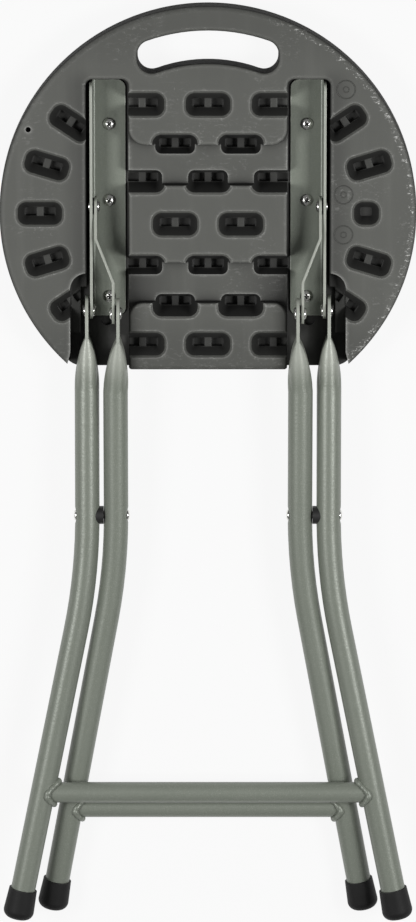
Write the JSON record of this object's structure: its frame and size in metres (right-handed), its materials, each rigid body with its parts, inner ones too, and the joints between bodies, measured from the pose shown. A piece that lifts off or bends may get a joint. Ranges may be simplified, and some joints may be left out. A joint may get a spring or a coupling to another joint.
{
  "type": "folding stool",
  "caption": "Round folding stool, folded flat: moulded plastic seat with a hand slot, bent steel tube legs that scissor on rivets, rubber feet.",
  "frame": {"origin": "centre of the round seat, on its sitting face, which lies on the ground", "axes": "+Z out of the seat's underside, +Y towards the hand slot, -Y towards the feet, X across"},
  "size_m": [0.32, 0.7172, 0.0514],
  "materials": {
    "seat_plastic": "matte",
    "grey_paint": "satin",
    "zinc": "satin",
    "black_plastic": "satin",
    "foot_rubber": "matte"
  },
  "bodies": {
    "seat": {"seat_shell": "seat_plastic", "bracket_screws": "zinc", "left_bracket": "grey_paint", "right_bracket": "grey_paint", "left_leg_rivet": "zinc", "right_leg_rivet": "zinc", "left_leg_washer": "black_plastic", "right_leg_washer": "black_plastic", "left_strut_rivet": "zinc", "right_strut_rivet": "zinc", "left_strut_washer": "black_plastic", "right_strut_washer": "black_plastic"},
    "outer_frame": {"outer_rail": "grey_paint", "left_outer_leg": "grey_paint", "right_outer_leg": "grey_paint", "left_outer_foot": "foot_rubber", "right_outer_foot": "foot_rubber", "left_cross_rivet": "zinc", "right_cross_rivet": "zinc", "left_cross_spacer": "black_plastic", "right_cross_spacer": "black_plastic"},
    "inner_frame": {"inner_rail": "grey_paint", "left_inner_leg": "grey_paint", "right_inner_leg": "grey_paint", "left_inner_foot": "foot_rubber", "right_inner_foot": "foot_rubber", "left_top_rivet": "zinc", "right_top_rivet": "zinc", "left_top_washer": "black_plastic", "right_top_washer": "black_plastic"},
    "struts": {"left_strut": "grey_paint", "right_strut": "grey_paint", "left_strut_stud": "zinc", "right_strut_stud": "zinc"}
  },
  "joints": [
    {"name": "leg_fold", "type": "hinge", "parent": "seat", "child": "outer_frame", "pos_m": [0, -0.0764, 0.0246], "axis": [-1, 0, 0], "range_deg": [0, 118.98]},
    {"name": "cross_fold", "type": "hinge", "parent": "outer_frame", "child": "inner_frame", "pos_m": [0, -0.23632, 0.02963], "axis": [1, 0, 0], "range_deg": [0, 56.56]},
    {"name": "strut_fold", "type": "hinge", "parent": "seat", "child": "struts", "pos_m": [0, 0.0048, 0.0246], "axis": [-1, 0, 0], "range_deg": [0, 170.27]}
  ],
  "couplings": [
    {"joint": "cross_fold", "follows": "leg_fold", "ratio": 0.47538},
    {"joint": "strut_fold", "follows": "leg_fold", "ratio": 1.4311}
  ]
}
